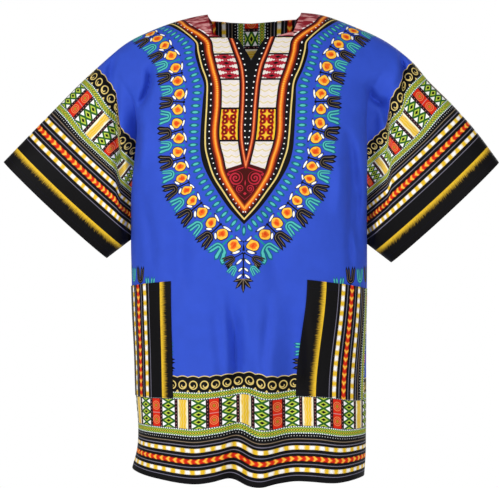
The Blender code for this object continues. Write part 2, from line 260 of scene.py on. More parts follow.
# Table of half the body that any place on the cloth is read from, with true distances along the cloth
class HalfBody:
    def __init__(self, side, face):
        self.side, self.face = side, face
        upper = cut["underarm"] * (1 - np.cos(np.linspace(0, np.pi, 170))) / 2
        self.downs = np.r_[upper, np.linspace(cut["underarm"], cut["length"], 110)[1:]]
        self.shares = np.linspace(0.0, 1.0, 110)
        points = np.array([bodyRow(side, face, float(down), self.shares) for down in self.downs])
        across, along = lengthsOf(points, 1), lengthsOf(points, 0)
        # The print's rows lie level across the chest
        level = np.array([np.interp(0.30, -points[:, j, 2], along[:, j]) for j in range(len(self.shares))])
        along = along + (level[0] - level)[None]
        self.values = np.concatenate([points, across[..., None], along[..., None]], axis=2)

    # x, y, z, true distance across and true distance down, at distances out and down the cut
    def at(self, mark, down):
        share = np.clip(mark / cut["bodyHalf"], 0.0, 1.0) * (len(self.shares) - 1)
        j = np.clip(share.astype(int), 0, len(self.shares) - 2)
        i = np.clip(np.searchsorted(self.downs, down, side="right") - 1, 0, len(self.downs) - 2)
        v = np.clip((down - self.downs[i]) / (self.downs[i + 1] - self.downs[i]), 0.0, 1.0)[..., None]
        u = (share - j)[..., None]
        table = self.values
        return (
            (1 - u) * (1 - v) * table[i, j] + u * (1 - v) * table[i, j + 1]
            + (1 - u) * v * table[i + 1, j] + u * v * table[i + 1, j + 1]
        )

    # Where a place of the flat cut goes once the neckline and the pocket have bent the cloth
    def bent(self, mark, down):
        mark, down = np.array(mark, float), np.array(down, float)
        rim, neck, blend = cut["rim"][self.face], cut["neck"][self.side], cut["neckBlend"]
        side, edge = (table[self.face, self.side] for table in (neckSide, neckEdge))
        inside = (mark <= neck + 1e-9) & (down < blend)
        ease = np.where(down <= rim, 1.0, 1.0 - smoothStep(rim, blend, down))
        pulled = mark * np.interp(down, side[:, 0], side[:, 1]) / neck
        lowered = down + (np.interp(pulled, edge[:, 0], edge[:, 1]) - rim) * ease
        down = np.where(inside & (down >= rim - 1e-9), lowered, down)
        mark = np.where(inside, pulled, mark)
        if self.side == "right":
            weight = smoothStep(0.03, 0.11, mark) * (1.0 - smoothStep(0.265, cut["bodyHalf"], mark))
            mark = mark - cut["pocketLean"] * weight * smoothStep(cut["pocketTop"], cut["pocketBottom"], down)
        return mark, down


# How much deeper the folds are pressed than their table says
foldGain = {"body": 2.4, "sleeve": 1.6}

# Pleats in the print of each sleeve: distance out, where they begin and end from the cuff, and take-up
pleats = {
    "left": [(0.239, 0.070, 0.160, 0.040)],
    "right": [(0.250, 0.070, 0.160, 0.034), (0.277, 0.150, 0.200, 0.012)],
}


# How far the folds push the cloth in, with a slow unevenness of its own
def foldDepth(face, x, z):
    total = np.zeros_like(x)
    for x0, z0, x1, z1, width, depth in folds[face]:
        runX, runZ = x1 - x0, z1 - z0
        length = np.hypot(runX, runZ)
        along = ((x - x0) * runX + (z - z0) * runZ) / length ** 2
        off = ((x - x0) * runZ - (z - z0) * runX) / length
        off = off + 0.004 * np.sin(along * 5.0 + x0 * 40.0)
        lowerEnd = 1.0 if z1 < -cut["length"] else 1.0 - smoothStep(0.7, 1.1, along)
        gain = foldGain["sleeve" if abs(x0) > 0.22 else "body"]
        total += gain * depth * smoothStep(-0.1, 0.4, along) * lowerEnd * np.exp(-((off / width) ** 2))
    turn = 0.7 if face == "front" else 2.1
    for across, up, size in ((21, 6, 0.0011), (37, -9, 0.0007), (64, 15, 0.0004), (90, -31, 0.0003)):
        total += size * np.sin(across * x + up * z + turn) * np.sin(0.31 * across * z - up * x + 1.7 * turn)
    return total


def hemRise(x, z):
    lean = x - 0.2 * (z + 0.80)
    return curve(hemWave, lean)[..., 0] * smoothStep(cut["length"] - 0.42, cut["length"] - 0.02, -z)


# Moves points of the plain form into the folds, except along seams
def folded(points, seam, face):
    points[..., 2] += hemRise(points[..., 0], points[..., 2])
    depth = points[..., 1]
    push = foldDepth(face, points[..., 0], points[..., 2]) * (1.0 - np.exp(-depth / 0.014))
    points[..., 1] = np.where(seam, 0.0, np.maximum(depth - push, np.minimum(depth, 0.004)))
    points[..., 1] = faceSign[face] * (points[..., 1] + cloth["seamGap"])
    return points


halves = {(side, face): HalfBody(side, face) for side in sideSign for face in faceSign}


# Rows down one face, evenly spaced along the cloth and closer where the sleeve turns under
def rowsFor(face):
    half = halves["left", face]
    turning = np.abs(np.diff(sleeveDepth(0.7, np.clip(half.downs / cut["underarm"], 0, 1))))
    measure = half.values[:, 0, 4] + np.r_[0.0, np.cumsum(turning)]
    marks = (0.0, cut["rim"][face], cut["neckBlend"], cut["underarm"], cut["length"])
    rows = [0.0]
    for start, stop in zip(marks, marks[1:]):
        low, high = np.interp([start, stop], half.downs, measure)
        count = max(1, round((high - low) / cloth["cell"]))
        rows.extend(np.interp(np.linspace(low, high, count + 1)[1:-1], measure, half.downs))
        rows.append(stop)
    return np.array(rows)


def marksFor(side):
    neck, half = cut["neck"][side], cut["bodyHalf"]
    inner = np.linspace(0.0, neck, round(neck / cloth["cell"]) + 1)
    return np.r_[inner, np.linspace(neck, half, round((half - neck) / cloth["cell"]) + 1)[1:]]


# Half of the body as a grid: x, y, z, distance across, distance down, and the border's two distances
def bodyHalf(side, face, rows):
    marks = marksFor(side)
    half = halves[side, face]
    mark, down = half.bent(*np.meshgrid(marks, rows))
    grid = half.at(mark, down)
    sign = sideSign[side]
    border = np.stack([sign * grid[..., 3], cut["length"] - down + 0.050], axis=-1)
    grid[..., 3] *= sign
    return np.concatenate([grid, border], axis=2)


# Half a sleeve as a grid, out from the body to the cuff, with the same seven values
def sleeve(side, face, rows):
    out = np.linspace(0.0, 1.0, cloth["sleeveColumns"] + 1) ** 1.15
    down = rows / cut["underarm"]
    root = sideAt(side, rows)
    length = lengthsOf(crestLine[side])[-1]
    top = crest(side, cut["bodyHalf"] + out * (length - cut["bodyHalf"]))
    tip, corner = top[-1], cuffCorner[side]
    cuff = tip + np.outer(down, corner - tip)
    cuff[:, 0] += form["cuffBow"] * np.sin(np.pi * down)
    under = root[-1] + np.outer(out, corner - root[-1])
    o, d = out[None, :, None], down[:, None, None]
    flat = (
        (1 - o) * root[:, None] + o * cuff[:, None] + (1 - d) * top[None] + d * under[None]
        - (1 - d) * ((1 - o) * root[0] + o * tip) - d * ((1 - o) * root[-1] + o * corner)
    )
    sign = sideSign[side]
    depth = sleeveDepth(out[None], down[:, None])
    points = np.stack([sign * flat[..., 0], depth, flat[..., 1]], axis=-1)
    along = lengthsOf(points)
    cuffWay = (corner - tip) / np.linalg.norm(corner - tip)
    inward = np.array([cuffWay[1], -cuffWay[0]])
    inward *= np.sign((root[0] - tip) @ inward)
    fromCuff = (flat - tip) @ inward + form["cuffBow"] * np.sin(np.pi * down)[:, None] * out[None]
    # Pleats beside the body take up some of the print
    reach = (flat - tip) @ cuffWay
    plain = fromCuff
    fromCuff = plain + 0.010 * smoothStep(0.020, 0.090, reach) * smoothStep(0.110, 0.150, plain)
    for crease, start, stop, taken in pleats[side]:
        within = smoothStep(crease + 0.005, crease - 0.004, flat[..., 0])
        fromCuff = fromCuff + taken * np.clip((plain - start) / (stop - start), 0.0, 1.0) ** 1.5 * within
    # The yoke's print ends before the sleeves, so theirs is placed far beyond it
    far = np.full_like(along, sign * 0.6)
    return np.stack([*np.moveaxis(points, 2, 0), far, along + 0.7, sign * along, fromCuff], axis=-1)


# The front or the back as three grids from left to right: a half sleeve, the body and a half sleeve. Each has
# the seven values of its points, whether they lie on a seam, and which cells exist
def panel(face):
    rows = rowsFor(face)
    upper = rows[rows <= cut["underarm"] + 1e-9]
    marks = np.r_[-marksFor("left")[::-1], marksFor("right")[1:]]
    neckLeft, neckRight = -cut["neck"]["left"], cut["neck"]["right"]
    body = joined(*(bodyHalf(side, face, rows) for side in sideSign))
    seam = np.zeros(body.shape[:2], bool)
    seam[0] = (marks < neckLeft + 1e-9) | (marks > neckRight - 1e-9)
    seam[len(upper) - 1:, [0, -1]] = True
    cells = np.ones((len(rows) - 1, len(marks) - 1), bool)
    middles = (marks[:-1] + marks[1:]) / 2
    cells[rows[1:] < cut["rim"][face] + 1e-9] = (middles < neckLeft) | (middles > neckRight)
    grids = {"left": None, "body": (body, seam, cells), "right": None}
    for side, edge in (("left", 0), ("right", -1)):
        arm = sleeve(side, face, upper)
        arm[:, 0, :3] = body[:len(upper), edge, :3]
        arm = arm[:, ::-1] if side == "left" else arm
        armSeam = np.zeros(arm.shape[:2], bool)
        armSeam[[0, -1]] = True
        grids[side] = arm, armSeam, np.ones((len(arm) - 1, arm.shape[1] - 1), bool)
    for grid, sewnAt, _ in grids.values():
        grid[..., :3] = folded(grid[..., :3], sewnAt, face)
    return grids


# Corners of the cells of a numbered grid
def quadsOf(number, cells, turned=False):
    corners = [number[:-1, :-1], number[1:, :-1], number[1:, 1:], number[:-1, 1:]]
    return np.stack([corner[cells] for corner in (corners[::-1] if turned else corners)], axis=-1)


# Points of a panel with their seven values, seams and cells. Each sleeve keeps its own copy of the side line,
# because the print changes there
def listed(grids, face):
    values = np.concatenate([grid.reshape(-1, 7) for grid, _, _ in grids.values()])
    seams = np.concatenate([seam.ravel() for _, seam, _ in grids.values()])
    quads, onArm, start = [], [], 0
    for name, (_, seam, cells) in grids.items():
        quads.append(quadsOf(start + np.arange(seam.size).reshape(seam.shape), cells, face == "back"))
        onArm += [name != "body"] * len(quads[-1])
        start += seam.size
    used, quads = np.unique(np.concatenate(quads), return_inverse=True)
    return values[used], seams[used], quads.reshape(-1, 4), np.array(onArm)


# First point of each place, and the number of every point's place
def placesOf(points):
    micrometres = np.round(points * 1e6).astype(np.int64)
    _, first, same = np.unique(micrometres, axis=0, return_index=True, return_inverse=True)
    return first, same.ravel()


# Normals of a mesh of quads, with points in the same place sharing one
def normalsOf(points, quads, seam):
    a, b, c, d = (points[quads[:, k]] for k in range(4))
    face = np.cross(c - a, d - b)
    _, same = placesOf(points)
    total = np.zeros((same.max() + 1, 3))
    for k in range(4):
        np.add.at(total, same[quads[:, k]], face)
    normals = total[same]
    normals[seam, 1] = 0.0
    return normals / np.maximum(np.linalg.norm(normals, axis=1, keepdims=True), 1e-12)


def placed(name, data):
    made = bpy.data.objects.new(name, data)
    bpy.context.scene.collection.objects.link(made)
    return made


# A thin piece of cloth with two sides and an edge. facts holds the vector attributes that the print is read
# from, and lift is how far the piece lies off its points. Without it the cloth lies inside them
def clothPiece(name, points, normals, quads, facts, materials, which, lift=None):
    thick = cloth["thick"]
    lift = np.full(len(points), -thick) if lift is None else lift
    outer, inner = points + normals * (lift + thick)[:, None], points + normals * lift[:, None]
    first, same = placesOf(points)
    count = len(first)
    starts = np.concatenate([quads[:, k] for k in range(4)])
    stops = np.concatenate([quads[:, (k + 1) % 4] for k in range(4)])
    owners = np.tile(np.arange(len(quads)), 4)
    edges = list(zip(same[starts].tolist(), same[stops].tolist()))
    used = set(edges)
    isOpen = np.array([(b, a) not in used for a, b in edges])
    a, b, owner = starts[isOpen], stops[isOpen], owners[isOpen]
    rim = np.stack([b, a, a, b], axis=-1)
    corners = np.concatenate([quads, quads[:, ::-1], rim])
    welded = same[corners]
    welded[len(quads):2 * len(quads)] += count
    welded[2 * len(quads):, 2:] += count
    mesh = bpy.data.meshes.new(name)
    mesh.from_pydata(np.concatenate([outer[first], inner[first]]).tolist(), [], welded.tolist())
    for title, values in facts.items():
        layer = mesh.attributes.new(title, "FLOAT_VECTOR", "CORNER")
        layer.data.foreach_set("vector", values[corners.ravel()].astype(np.float32).ravel())
    for material in materials:
        mesh.materials.append(material)
    mesh.polygons.foreach_set("material_index", np.concatenate([which, which, which[owner]]).astype(np.int32))
    mesh.shade_smooth()
    mesh.set_sharp_from_angle(angle=np.radians(55))
    return placed(name, mesh)


# Lines of the print at the neck, in millimetres: distance from the centre line, distance down the cloth
printLines = {
    "edge": [
        (190, -28), (166, 32), (154, 54), (141, 73), (127, 89), (115, 103), (103, 118), (102, 140), (93, 174),
        (82.5, 203), (83, 231), (83.5, 292), (83, 313), (77, 342), (65, 367), (50, 391), (26, 424), (0, 451),
    ],
    "gold": [
        (182, -28), (158, 30), (144, 54), (132, 72), (119, 90), (108, 104), (98, 119), (96, 134), (88, 168),
        (77.5, 197), (75.5, 229), (74, 302), (73, 314), (66, 340), (56, 366), (39, 392), (20, 419), (0, 442),
    ],
    "outer": [
        (150, -28), (136, 32), (129, 52), (121, 71), (109, 85), (93, 101), (80, 118), (77, 138), (69, 171),
        (60, 203), (57.5, 235), (57, 302), (54, 316), (48.5, 334), (42, 359), (31, 381), (18.5, 401),
        (0, 425),
    ],
    "inner": [(56, 40), (34, 116), (26.5, 140), (18, 166), (13, 197), (11.5, 229), (9.5, 302), (0, 350)],
}

# Teal drops round the yoke, and the flowers beyond them, from the bottom up
dropLine = [
    (0, 463), (14, 452), (35.5, 433), (60, 399), (76, 373), (89, 345), (95.5, 314), (96, 292),
    (95.5, 231), (95, 205), (104, 178), (113, 148), (116, 126), (126, 110), (138, 96), (151, 80),
    (166, 60), (180, 35), (205, -28),
]
flowerLine = [
    (0, 492), (16.5, 488), (38.5, 468), (58, 448), (76, 430), (93, 408.5), (105.5, 390.5), (114.5, 370),
    (118, 348), (124, 322), (124.5, 298), (130, 271), (130, 246), (129, 219), (134, 193), (139, 168),
    (147, 142), (160, 118), (175, 96), (189, 73), (203, 50), (217, 26), (231, 2), (245, -22),
]
flowerSteps = np.r_[0.0, 0.5 + np.arange(len(flowerLine) - 1)]


# Signed distance from a line, and the place along it
def fromLine(table, along, across, down):
    fine = np.linspace(along[0], along[-1], 700)
    line = curve(np.column_stack([along, np.array(table, float)]), fine)
    steps = np.diff(line, axis=0)
    squares = (steps ** 2).sum(axis=1)
    distance, place = np.empty(len(across)), np.empty(len(across))
    for start in range(0, len(across), 3000):
        part = slice(start, start + 3000)
        offset = np.column_stack([across[part], down[part]])[:, None] - line[None, :-1]
        share = np.clip((offset * steps).sum(axis=2) / squares, 0.0, 1.0)
        gap = offset - share[..., None] * steps
        size = (gap ** 2).sum(axis=2)
        best = size.argmin(axis=1)
        rows = np.arange(len(best))
        turn = steps[best, 0] * gap[rows, best, 1] - steps[best, 1] * gap[rows, best, 0]
        distance[part] = np.sqrt(size[rows, best]) * np.where(turn < 0, -1.0, 1.0)
        place[part] = fine[best] + share[rows, best] * (fine[1] - fine[0])
    return distance, place


# The vector attributes that the prints are read from, in millimetres
def printFacts(values):
    across, down = np.abs(values[:, 3]) * 1000, values[:, 4] * 1000
    near = (across < 250) & (down < 640)
    lines = {name: np.full(len(values), 400.0) for name in printLines}
    for name, table in printLines.items():
        lines[name][near] = -fromLine(table, lengthsOf(table), across[near], down[near])[0]
    rings = {}
    for name, table, steps in (("drop", dropLine, lengthsOf(dropLine)), ("flower", flowerLine, flowerSteps)):
        rings[name] = np.full((len(values), 3), 400.0)
        distance, place = fromLine(table, steps, across[near], down[near])
        rings[name][near, 0], rings[name][near, 1] = place, distance
    return {
        "yokeLines": np.column_stack([lines["edge"], lines["gold"], lines["outer"]]),
        "yokePlace": np.column_stack([lines["inner"], values[:, 3] * 1000, down]),
        "dropPlace": rings["drop"],
        "flowerPlace": rings["flower"],
        "borderPlace": np.column_stack([values[:, 5:7] * 1000, np.zeros(len(values))]),
    }


# Inks of the print, as red, green and blue from 0 to 255
inks = {
    "blue": (48, 79, 194),
    "black": (7, 6, 8),
    "teal": (80, 184, 176),
    "sea": (22, 132, 142),
    "deepTeal": (10, 92, 114),
    "cream": (222, 213, 205),
    "paleYellow": (206, 186, 98),
    "gold": (222, 196, 116),
    "orange": (232, 104, 24),
    "amber": (250, 190, 66),
    "rust": (214, 84, 36),
    "salmon": (255, 164, 100),
    "petal": (212, 70, 16),
    "darkRed": (96, 12, 6),
    "crimson": (158, 30, 46),
    "rose": (206, 140, 140),
    "red": (208, 38, 16),
    "yellow": (228, 186, 44),
    "honey": (216, 168, 44),
    "pearl": (238, 233, 210),
    "white": (246, 246, 244),
    "grey": (118, 115, 132),
    "maroon": (34, 8, 16),
    "sand": (136, 118, 98),
    "green": (36, 92, 30),
    "lime": (184, 202, 70),
    "night": (18, 20, 60),
}


def ink(name, shade=1.0):
    parts = [value / 255 for value in inks[name]]
    linear = [v / 12.92 if v <= 0.04045 else ((v + 0.055) / 1.055) ** 2.4 for v in parts]
    return (*[v * shade for v in linear], 1.0)


# One output of a node, that takes part in sums as a number would
class Wire:
    def __init__(self, socket):
        self.socket, self.tree = socket, socket.id_data

    def __add__(self, other):
        return maths("ADD", self, other)

    def __radd__(self, other):
        return maths("ADD", other, self)

    def __sub__(self, other):
        return maths("SUBTRACT", self, other)

    def __rsub__(self, other):
        return maths("SUBTRACT", other, self)

    def __mul__(self, other):
        return maths("MULTIPLY", self, other)

    def __rmul__(self, other):
        return maths("MULTIPLY", other, self)

    def __truediv__(self, other):
        return maths("DIVIDE", self, other)

    def __rtruediv__(self, other):
        return maths("DIVIDE", other, self)

    def __neg__(self):
        return maths("MULTIPLY", self, -1.0)

    def __abs__(self):
        return maths("ABSOLUTE", self)


# A node of any kind: its settings come first, then its sockets by name or number
def node(tree, kind, settings=None, sockets=None):
    made = tree.nodes.new(kind)
    for name, value in (settings or {}).items():
        setattr(made, name, value)
    for name, value in (sockets or {}).items():
        if isinstance(value, Wire):
            tree.links.new(value.socket, made.inputs[name])
        else:
            made.inputs[name].default_value = value
    return made


def maths(kind, *values, clamp=False):
    tree = next(value.tree for value in values if isinstance(value, Wire))
    made = node(tree, "ShaderNodeMath", {"operation": kind, "use_clamp": clamp}, dict(enumerate(values)))
    return Wire(made.outputs[0])


# One colour over another, where either may be the name of an ink
def mixed(under, over, share):
    tree = next(value.tree for value in (under, over, share) if isinstance(value, Wire))
    under, over = (ink(value) if isinstance(value, str) else value for value in (under, over))
    made = node(tree, "ShaderNodeMix", {"data_type": "RGBA"}, {0: share, 6: under, 7: over})
    return Wire(made.outputs[2])


# Lays colours over a first one in turn, each where its mask says
def layered(colour, *layers):
    for over, mask in layers:
        colour = mixed(colour, over, mask)
    return colour


# 1 where a distance is below zero, with an edge as wide as softness
def inside(distance, softness=0.5):
    return maths("MULTIPLY_ADD", distance, -1.0 / softness, 0.5, clamp=True)


def line(value, centre, half, softness=0.5):
    return inside(abs(value - centre) - half, softness)


def both(*masks):
    return reduce(lambda first, second: first * second, masks)


def most(*values):
    return reduce(lambda first, second: maths("MAXIMUM", first, second), values)


def least(*values):
    return reduce(lambda first, second: maths("MINIMUM", first, second), values)


# Distance from the nearest multiple of a step
def apart(value, step, start=0.0):
    return maths("PINGPONG", value - start if start else value, step / 2)


# Distance from a middle, by its two parts
def radius(x, y):
    return maths("SQRT", x * x + y * y)


# Distances along and off a slanted line through a middle
def slanted(x, y, middle, angle):
    cos, sin = float(np.cos(np.radians(angle))), float(np.sin(np.radians(angle)))
    dx, dy = x - middle[0], y - middle[1]
    return dx * cos + dy * sin, dy * cos - dx * sin


# Signed distance from the edge of a leaf that lies at an angle
def leaf(x, y, middle, angle, half, wide):
    along, off = slanted(x, y, middle, angle)
    return (radius(along / half, off / wide) - 1.0) * wide


def split(tree, socket):
    return [Wire(output) for output in node(tree, "ShaderNodeSeparateXYZ", None, {0: Wire(socket)}).outputs]


def facts(tree, title):
    return split(tree, node(tree, "ShaderNodeAttribute", {"attribute_name": title}).outputs["Vector"])


def grain(tree, scale, detail=2.0, stretch=(1.0, 1.0, 1.0)):
    place = Wire(node(tree, "ShaderNodeTexCoord").outputs["Object"])
    drawn = node(tree, "ShaderNodeVectorMath", {"operation": "MULTIPLY"}, {0: place, 1: stretch})
    sockets = {"Vector": Wire(drawn.outputs[0]), "Scale": scale, "Detail": detail}
    return Wire(node(tree, "ShaderNodeTexNoise", None, sockets).outputs["Fac"])


# Unevenness of a printed edge, as millimetres from one extreme to the other
def ragged(tree, scale, size):
    return (grain(tree, scale, 1.0) - 0.5) * size


# Finish of the printed cotton: a soft sheen, a fine weave, soft crumples and uneven dye
finish = {
    "sockets": {"Roughness": 0.60, "Specular IOR Level": 0.10, "Sheen Weight": 0.02, "Sheen Roughness": 0.45},
    "weave": {"Strength": 0.12, "Distance": 0.0002},
    "threads": 5200.0,
    "crumple": {"Strength": 0.5, "Distance": 0.004},
    "crumpleScale": 17.0,
    "mottle": 0.10,
    "mottleScale": 38.0,
}


# A new material, its node tree and its shader
def blank(name):
    material = bpy.data.materials.new(name)
    material.use_nodes = True
    return material, material.node_tree, material.node_tree.nodes["Principled BSDF"]


# A cotton material whose ink comes from a function of the node tree
def cotton(name, inkOf):
    material, tree, shader = blank(name)
    for socket, value in finish["sockets"].items():
        shader.inputs[socket].default_value = value
    mottle = grain(tree, finish["mottleScale"], 3.0) * finish["mottle"] * 2 + (1 - finish["mottle"])
    dyed = node(tree, "ShaderNodeVectorMath", {"operation": "SCALE"}, {0: inkOf(tree), "Scale": mottle})
    tree.links.new(dyed.outputs[0], shader.inputs["Base Color"])
    x, _, z = split(tree, node(tree, "ShaderNodeTexCoord").outputs["Object"])
    weave = maths("SINE", x * finish["threads"]) * maths("SINE", z * finish["threads"])
    soft = grain(tree, finish["crumpleScale"], 3.0, (1.0, 1.0, 0.5))
    crumpled = node(tree, "ShaderNodeBump", None, {**finish["crumple"], "Height": soft})
    woven = {**finish["weave"], "Height": weave, "Normal": Wire(crumpled.outputs[0])}
    tree.links.new(node(tree, "ShaderNodeBump", None, woven).outputs[0], shader.inputs["Normal"])
    return material


def plainInk(tree):
    return mixed("blue", ink("blue", 0.92), grain(tree, 9.0))


# Open hands of the print, in millimetres: inks, half width of a finger and of its rim
hands = {
    "teal": {"stem": "sea", "rim": "deepTeal", "core": "teal", "half": 1.25, "edge": 1.2},
    "black": {"stem": "black", "rim": "black", "core": "sand", "half": 0.30, "edge": 2.3},
}

# Shape of every hand: radius, foot and spread of the bowls between its fingers, its length and its reach to
# each side, and the half widths of the knob and the stem under it
palm = {
    "outer": (7.6, 0.0, 0.16), "inner": (2.6, 4.5, 0.12), "length": 24.0, "reach": 13.0,
    "knob": 2.5, "stem": 1.3,
}


# Distance from the bowl between two fingers, by distance across it and out from its foot
def bowl(wide, out, size, foot, spread):
    rise = out - (foot + size)
    return abs(radius(wide, least(rise, 0.0)) - size - most(rise, 0.0) * spread)


# Draws an open hand of four fingers on its stem
def hand(colour, name, wide, out, allowed=1.0):
    made, length = hands[name], palm["length"]
    fingers = least(bowl(wide, out, *palm["outer"]), bowl(wide, out, *palm["inner"]))
    fingers = fingers - least((length - out) * 0.4, made["half"])
    knob = inside(radius(wide, out + length) - palm["knob"])
    stem = both(inside(wide - palm["stem"]), line(out, -length / 2, length / 2, 1.0))
    near = both(inside(wide - palm["reach"]), inside(-out - 3.0)) * allowed
    return layered(
        colour,
        (ink(made["stem"]), most(knob, stem) * allowed),
        (ink(made["rim"]), inside(fingers - made["edge"]) * near),
        (ink(made["core"]), inside(fingers) * near),
    )


# White leaves with a dark rim: middle, angle, half length and half width of each
def whiteLeaves(colour, x, y, leaves):
    shape = least(*[leaf(x, y, *sizes) for sizes in leaves])
    return layered(colour, ("night", inside(shape - 0.7)), ("white", inside(shape + 0.2)))


# Row of open hands low at each side, and how much lower the ones nearest the middle stand
sideRow = {"foot": 556.0, "from": 165.0, "start": 231.0, "step": 27.5, "drop": 15.0, "dropWithin": 189.5}

# Hands low beside the border that point inwards, and where they stand at each side
sprigs = {"left": 153.0, "right": 116.0, "downs": {"teal": 672.0, "black": 701.0}}


# Ink of the plain blue, with those hands
def sideInk(tree):
    _, across, down = facts(tree, "yokePlace")
    side = abs(across)
    out = sideRow["foot"] + sideRow["drop"] * inside(side - sideRow["dropWithin"]) - down
    here = inside(sideRow["from"] - side)
    inward = sprigs["right"] + (sprigs["left"] - sprigs["right"]) * inside(across) - side
    colour = plainInk(tree)
    for number, name in enumerate(hands):
        start = sideRow["start"] + number * sideRow["step"]
        colour = hand(colour, name, apart(side, 2 * sideRow["step"], start), out, here)
    for name, foot in sprigs["downs"].items():
        colour = hand(colour, name, abs(down - foot), inward)
    return colour


# Ring of drops, flowers, leaves and open hands round the yoke, in millimetres. A leaf has its middle,
# angle, half length and half width, and a low hand its ink, middle, angle and size
ring = {
    "dropStep": 11.6,
    "drop": (6.4, 2.4),
    "lowestDrop": 462.0,
    "step": 25.6,
    "flower": 8.8,
    "handBase": 14.0,
    "leaves": [((11.8, -12.9), -18.0, 7.0, 2.0), ((7.8, 10.6), 45.0, 5.6, 2.0)],
    "lowHands": [("teal", (15.0, 526.0), 56.0, 0.66), ("black", (17.0, 510.0), 28.0, 0.72)],
    "lowLeaves": [
        ((7.5, 517.0), 42.0, 6.6, 2.0), ((5.2, 531.0), 42.0, 4.6, 1.8), ((7.0, 543.0), 38.0, 5.6, 1.9),
    ],
    "tuft": 547.0,
}


# Draws the stem that hangs at the bottom of the ring, and the open tuft under it
def lowStem(colour, side, down):
    for name, middle, angle, size in ring["lowHands"]:
        out, wide = slanted(side, down, middle, angle)
        colour = hand(colour, name, abs(wide / size), out / size)
    colour = whiteLeaves(colour, side, down, ring["lowLeaves"])
    drop = down - ring["tuft"]
    turn, far = maths("ARCTAN2", side, drop), radius(side, drop)
    spread = apart(turn, 0.66) * far
    petal = spread - (26.0 - turn * 5.0 - far) * 0.42
    return layered(
        colour,
        ("black", both(inside(side - 1.2), line(down, 524.0, 22.0, 1.0))),
        ("black", both(inside(petal), inside(spread - 3.6), inside(turn - 1.62, 0.05))),
        ("sand", both(inside(spread - 0.5), inside(far + turn * 5.0 - 22.0), inside(turn - 1.5, 0.05))),
    )


# Ink of the ring round the yoke
def ringInk(tree):
    edge, gold, _ = facts(tree, "yokeLines")
    _, across, down = facts(tree, "yokePlace")
    dropAt, dropOff, _ = facts(tree, "dropPlace")
    step, off, _ = facts(tree, "flowerPlace")
    side = abs(across)
    drop = leaf(dropOff, apart(dropAt, ring["dropStep"]), (0.0, 0.0), 0.0, *ring["drop"])
    drop = least(most(drop, 7.0 - side), leaf(down, side, (ring["lowestDrop"], 0.0), 0.0, *ring["drop"]))
    colour = layered(plainInk(tree), ("deepTeal", inside(drop - 1.2)), ("teal", inside(drop + 0.4)))
    black, out = apart(step, 2.0) * ring["step"], off - ring["handBase"]
    free = 1.0 - both(inside(side - 19.0, 1.0), inside(6.0 - off, 2.0))
    colour = hand(colour, "teal", ring["step"] - black, out, free)
    colour = hand(colour, "black", black, out, free)
    colour = whiteLeaves(colour, black, off, ring["leaves"])
    towards = black - ring["step"] / 2
    flower = radius(most(0.75 - towards * 0.07, 0.85) * off, towards) + ragged(tree, 70.0, 5.0)
    colour = layered(
        colour,
        ("black", inside(flower - ring["flower"] - 1.2)),
        ("amber", inside(flower - ring["flower"])),
        ("orange", inside(flower - 5.2 + ragged(tree, 160.0, 8.0), 2.4)),
        ("petal", inside(flower - 2.6 + ragged(tree, 210.0, 9.0), 2.0)),
    )
    colour = lowStem(colour, side, down)
    return layered(colour, ("black", inside(edge)), ("gold", line(gold, 0.0, 1.3)))


# Orange bands of the yoke: half width in millimetres, and their inks
bands = {
    "outer": {"half": 7.0, "body": "orange", "light": "amber"},
    "inner": {"half": 3.7, "body": "rust", "light": "salmon"},
}


# Draws an orange band with a bright ribbed middle, by distance from its centre line
def band(colour, off, along, name):
    half = bands[name]["half"]
    ribs = maths("SINE", along * 2.6) * 0.14 * half
    return layered(
        colour,
        ("darkRed", inside(abs(off) - half, 0.6)),
        (bands[name]["body"], inside(abs(off + half * 0.06) - half * 0.46, half * 0.5)),
        (bands[name]["light"], inside(abs(off + half * 0.16) - half * 0.10 + ribs, half * 0.34)),
    )


# Blocks down the columns of the yoke, in millimetres down the cloth: where each starts
columns = {"cream": 106.5, "teeth": 144.0, "plain": 193.0, "knots": 246.0, "last": 303.0}


# Ink of those blocks, by distance in from the column's sides and from its middle
def columnInk(tree, within, centre, down):
    wave = down - 3.4 * abs(maths("SINE", centre * 0.23))
    groove = inside(apart(wave, 10.6, 5.3) - 1.4, 2.4) * 0.25
    cream = layered("cream", (ink("grey", 3.4), groove), ("paleYellow", inside(apart(wave, 10.6) - 0.7, 1.6)))
    row = apart(down, 12.2, columns["teeth"] + 6.1)
    gap = 6.1 - row + apart(centre, 4.6) * 0.8
    teeth = mixed("crimson", "cream", inside(gap - centre * 0.30 - 0.3, 0.8))
    teeth = mixed(teeth, "black", inside(row + centre * 0.45 - 2.6, 0.8))
    high = apart(down, 19.0, columns["knots"] + 9.5)
    star = least(centre, high) * 1.5 + most(centre, high) * 0.55
    curl = radius(centre - 7.4, high - 5.8)
    knots = layered(
        ink("red", 0.7),
        ("darkRed", line(curl, 3.4, 1.2, 1.2)),
        ("yellow", most(inside(star - 4.4, 0.8), inside(curl - 1.2, 0.8))),
        ("yellow", inside(11.6 - centre + apart(down, 9.5) * 0.35, 0.8)),
    )
    streaks = grain(tree, 90.0, 2.0, (0.5, 1.0, 2.6))
    light = both(line(within, 1.6, 1.0), inside(0.52 - streaks, 0.05), inside(62.0 - down))
    feather = layered(ink("crimson", 0.7), ("rose", inside(0.54 - streaks, 0.14)), ("white", light))
    drawn = cream
    for name, block in (("teeth", teeth), ("plain", cream), ("knots", knots), ("last", cream)):
        drawn = mixed(drawn, block, inside(columns[name] - down))
    return mixed(drawn, feather, inside(down - columns["cream"]))


